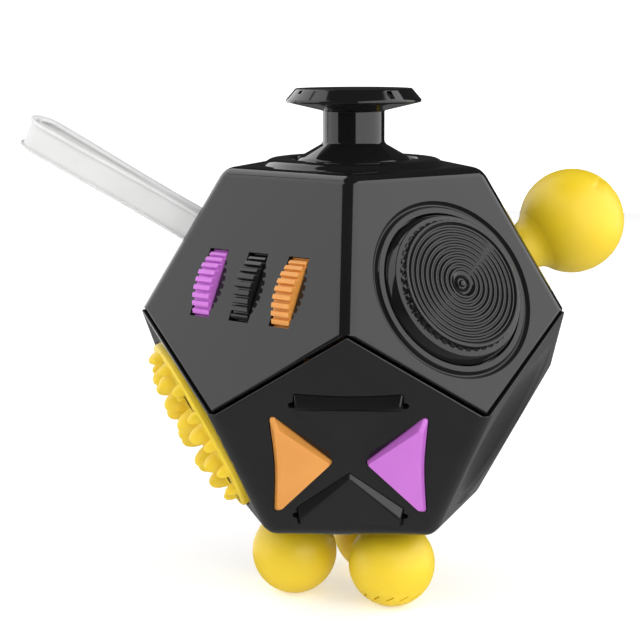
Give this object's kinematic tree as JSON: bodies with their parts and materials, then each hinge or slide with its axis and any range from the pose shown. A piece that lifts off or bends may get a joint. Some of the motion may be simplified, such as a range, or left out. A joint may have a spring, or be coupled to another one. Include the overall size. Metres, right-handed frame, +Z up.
{
  "type": "fidget cube",
  "caption": "Hand-held twelve-sided fidget toy with a joystick, click wheels, dial, press buttons, nub pad, thumb dish, squeeze balls and a wrist loop.",
  "frame": {"origin": "middle of the underside of the whole object's box: z is 0 where the three base balls rest, x and y are the middle of the box that includes the strap and the squeeze ball; the casing's own axis is 5.924 mm towards +X", "axes": "+Z up along the joystick's axis at rest, +X from the strap towards the squeeze ball, -Y faces the four press buttons"},
  "size_m": [0.0912, 0.0612, 0.0736],
  "materials": {
    "gloss_black": "polished black ABS",
    "inner_black": "plain moulded black plastic",
    "yellow_silicone": "soft satin silicone",
    "orange_plastic": "satin",
    "purple_plastic": "satin",
    "white_silicone": "smooth satin silicone",
    "grey_rubber": "matte",
    "steel": "plain"
  },
  "bodies": {
    "casing": {"upper_shell": "gloss_black", "lower_shell": "gloss_black", "joystick_housing": "inner_black", "gear_cradle": "inner_black", "button_backplate": "inner_black", "rocker_bracket": "inner_black", "roller_cup": "inner_black", "massage_pad": "yellow_silicone", "squeeze_ball": "yellow_silicone", "base_ball_1": "yellow_silicone", "base_ball_2": "yellow_silicone", "base_ball_3": "yellow_silicone", "strap_loop": "white_silicone", "button_dome_left": "grey_rubber", "button_dome_right": "grey_rubber", "button_dome_top": "grey_rubber", "button_dome_bottom": "grey_rubber", "joystick_screw_1": "steel", "joystick_screw_2": "steel", "joystick_screw_3": "steel", "joystick_spring": "steel", "gear_axle": "steel", "gear_click_leaf": "steel", "backplate_screw_left": "steel", "backplate_screw_right": "steel", "pad_clip": "steel", "strap_pin": "steel", "rocker_pin": "steel", "rocker_spring": "steel"},
    "stick_gimbal": {"joystick_gimbal": "inner_black", "joystick_cross_pin": "steel"},
    "stick": {"joystick_cap": "gloss_black", "joystick_post": "inner_black"},
    "wheel_left": {"gear_wheel_left": "purple_plastic"},
    "wheel_middle": {"gear_wheel_middle": "gloss_black"},
    "wheel_right": {"gear_wheel_right": "orange_plastic"},
    "dial": {"dial_knob": "gloss_black", "dial_washer": "inner_black", "dial_screw": "steel"},
    "key_left": {"button_left": "orange_plastic"},
    "key_right": {"button_right": "purple_plastic"},
    "key_top": {"button_top": "gloss_black"},
    "key_bottom": {"button_bottom": "gloss_black"},
    "rocker": {"rocker_paddle": "orange_plastic"},
    "slider": {"slider_knob": "purple_plastic", "slider_retainer": "inner_black", "slider_screw": "steel"},
    "roller": {"roller_ball": "yellow_silicone"}
  },
  "joints": [
    {"name": "joystick_tilt_x", "type": "hinge", "parent": "casing", "child": "stick_gimbal", "pos_m": [0.00592, 0, 0.0568], "axis": [1, 0, 0], "range_deg": [-18, 18], "stiffness_Nm_per_rad": 0.03},
    {"name": "joystick_tilt_y", "type": "hinge", "parent": "stick_gimbal", "child": "stick", "pos_m": [0.00592, 0, 0.0568], "axis": [0, 1, 0], "range_deg": [-18, 18], "stiffness_Nm_per_rad": 0.03},
    {"name": "wheel_left_spin", "type": "hinge", "parent": "casing", "child": "wheel_left", "pos_m": [-0.00998, -0.00998, 0.04522], "axis": [0.809, -0.5878, 0], "continuous": true},
    {"name": "wheel_middle_spin", "type": "hinge", "parent": "casing", "child": "wheel_middle", "pos_m": [-0.00431, -0.01409, 0.04522], "axis": [0.809, -0.5878, 0], "continuous": true},
    {"name": "wheel_right_spin", "type": "hinge", "parent": "casing", "child": "wheel_right", "pos_m": [0.00135, -0.01821, 0.04522], "axis": [0.809, -0.5878, 0], "continuous": true},
    {"name": "dial_spin", "type": "hinge", "parent": "casing", "child": "dial", "pos_m": [0.01956, -0.01842, 0.04786], "axis": [0.5257, -0.7236, 0.4472], "continuous": true},
    {"name": "button_left_press", "type": "slide", "parent": "casing", "child": "key_left", "axis": [0, 0.8944, 0.4472], "range_m": [0, 0.001], "stiffness_N_per_m": 500, "deforming": ["button_dome_left"]},
    {"name": "button_right_press", "type": "slide", "parent": "casing", "child": "key_right", "axis": [0, 0.8944, 0.4472], "range_m": [0, 0.001], "stiffness_N_per_m": 500, "deforming": ["button_dome_right"]},
    {"name": "button_top_press", "type": "slide", "parent": "casing", "child": "key_top", "axis": [0, 0.8944, 0.4472], "range_m": [0, 0.001], "stiffness_N_per_m": 500, "deforming": ["button_dome_top"]},
    {"name": "button_bottom_press", "type": "slide", "parent": "casing", "child": "key_bottom", "axis": [0, 0.8944, 0.4472], "range_m": [0, 0.001], "stiffness_N_per_m": 500, "deforming": ["button_dome_bottom"]},
    {"name": "rocker_tilt", "type": "hinge", "parent": "casing", "child": "rocker", "pos_m": [0.00592, 0.0186, 0.0471], "axis": [-1, 0, 0], "range_deg": [-10, 10]},
    {"name": "slider_slide", "type": "slide", "parent": "casing", "child": "slider", "axis": [-0.2629, 0.3618, 0.8944], "range_m": [-0.0035, 0.0035]},
    {"name": "roller_spin", "type": "hinge", "parent": "casing", "child": "roller", "pos_m": [0.01723, 0.01556, 0.02818], "axis": [-0.809, 0.5878, 0], "continuous": true}
  ]
}
